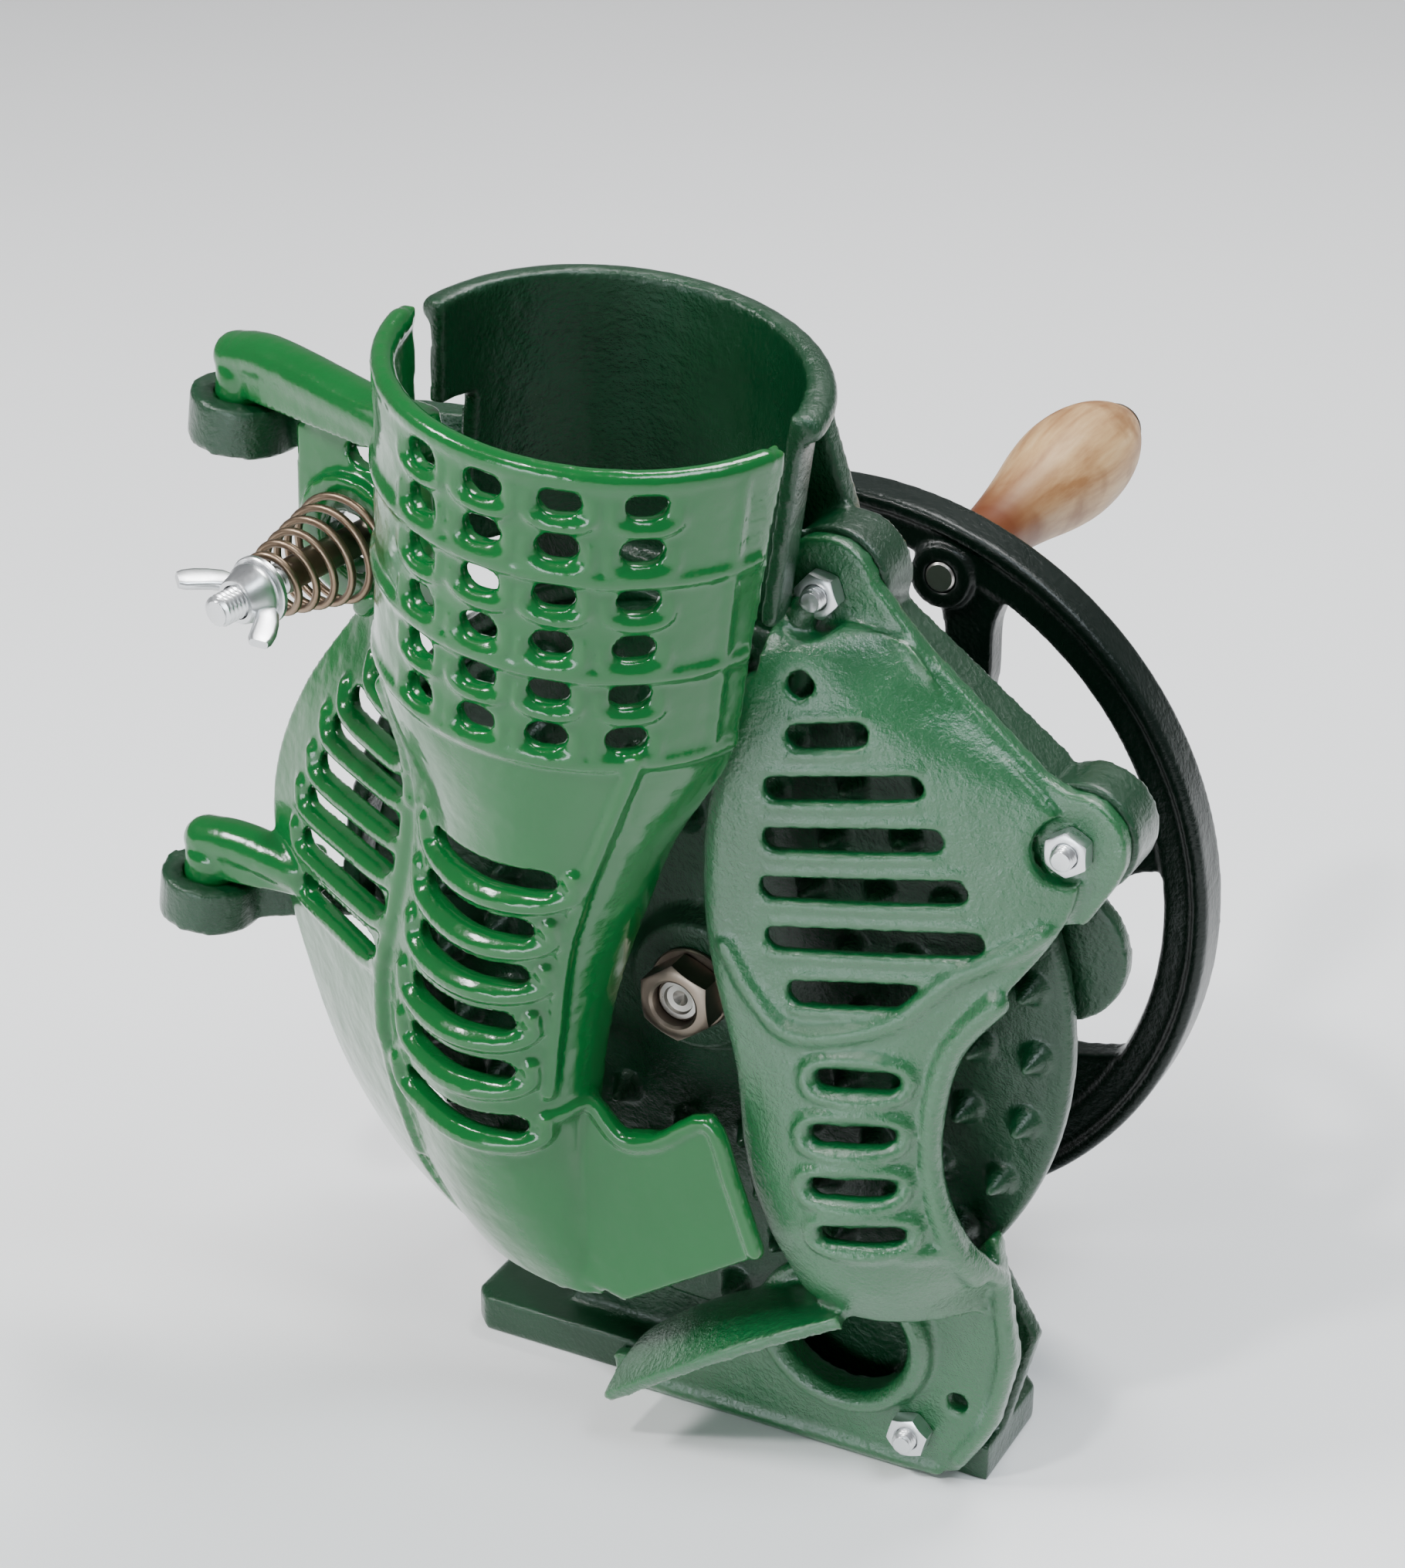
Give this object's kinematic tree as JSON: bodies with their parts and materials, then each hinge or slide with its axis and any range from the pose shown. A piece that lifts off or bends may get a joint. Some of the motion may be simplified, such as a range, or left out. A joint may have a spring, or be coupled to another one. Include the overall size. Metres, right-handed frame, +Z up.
{
  "type": "corn sheller",
  "caption": "Hand-cranked cast-iron corn sheller: throat tube, swinging slotted gate, toothed shelling disc, slotted cover, flywheel with wooden crank grip.",
  "frame": {"origin": "centre of the base plate's flat underside", "axes": "+Z up; -Y towards the operator, the side of the gate, disc teeth and cover; +Y towards the flywheel and its crank grip; +X to the operator's right"},
  "size_m": [0.2697, 0.2871, 0.3044],
  "materials": {
    "green_enamel": "glossy enamel over sand-cast iron",
    "dark_enamel": "glossy dark green enamel over sand-cast iron",
    "wheel_enamel": "near-black green enamel over cast iron",
    "zinc": "bright zinc plate",
    "black_steel": "brownish oiled steel",
    "turned_steel": "turned bright steel",
    "spring_wire": "brownish spring wire",
    "bush_iron": "machined grey iron",
    "turned_wood": "worn turned hardwood"
  },
  "bodies": {
    "stand": {"frame": "dark_enamel", "bearing_bush_front": "bush_iron", "bearing_bush_rear": "bush_iron", "front_cover": "green_enamel", "cover_bolts": "zinc", "cover_nuts": "zinc", "cover_washers": "zinc", "tension_bolt": "zinc", "tension_lock_nut": "zinc", "tension_spring": "spring_wire"},
    "rotor": {"main_shaft": "turned_steel", "shelling_disc": "dark_enamel", "shaft_washer": "black_steel", "shaft_nut": "black_steel", "shaft_collar": "black_steel", "flywheel": "wheel_enamel", "flywheel_key": "turned_steel", "flywheel_washer": "zinc", "flywheel_nut": "zinc", "crank_spindle": "turned_steel", "spindle_nut": "black_steel", "grip_end_cap": "black_steel"},
    "handle": {"grip": "turned_wood"},
    "gate": {"gate": "green_enamel"},
    "spring_cap": {"spring_washer": "zinc"},
    "wing": {"wing_nut": "zinc"}
  },
  "joints": [
    {"name": "shaft_turn", "type": "hinge", "parent": "stand", "child": "rotor", "pos_m": [-0.006, 0, 0.126], "axis": [0, 1, 0], "continuous": true},
    {"name": "grip_spin", "type": "hinge", "parent": "rotor", "child": "handle", "pos_m": [0.02241, 0.1285, 0.2114], "axis": [0, 1, 0], "continuous": true},
    {"name": "gate_swing", "type": "hinge", "parent": "stand", "child": "gate", "pos_m": [-0.13, -0.024, 0.256], "axis": [-0.1409, 0, -0.99], "range_deg": [0, 10], "deforming": ["tension_spring"]},
    {"name": "wing_nut_turn", "type": "hinge", "parent": "spring_cap", "child": "wing", "pos_m": [-0.09588, -0.07132, 0.23297], "axis": [0.1733, 0.983, 0.0599], "range_deg": [-722, 1442]},
    {"name": "wing_nut_advance", "type": "slide", "parent": "stand", "child": "spring_cap", "axis": [0.1733, 0.983, 0.0599], "range_m": [-0.0025, 0.005], "deforming": ["tension_spring"]}
  ],
  "couplings": [
    {"joint": "wing_nut_turn", "follows": "wing_nut_advance", "rad_per_m": 5026.5}
  ]
}
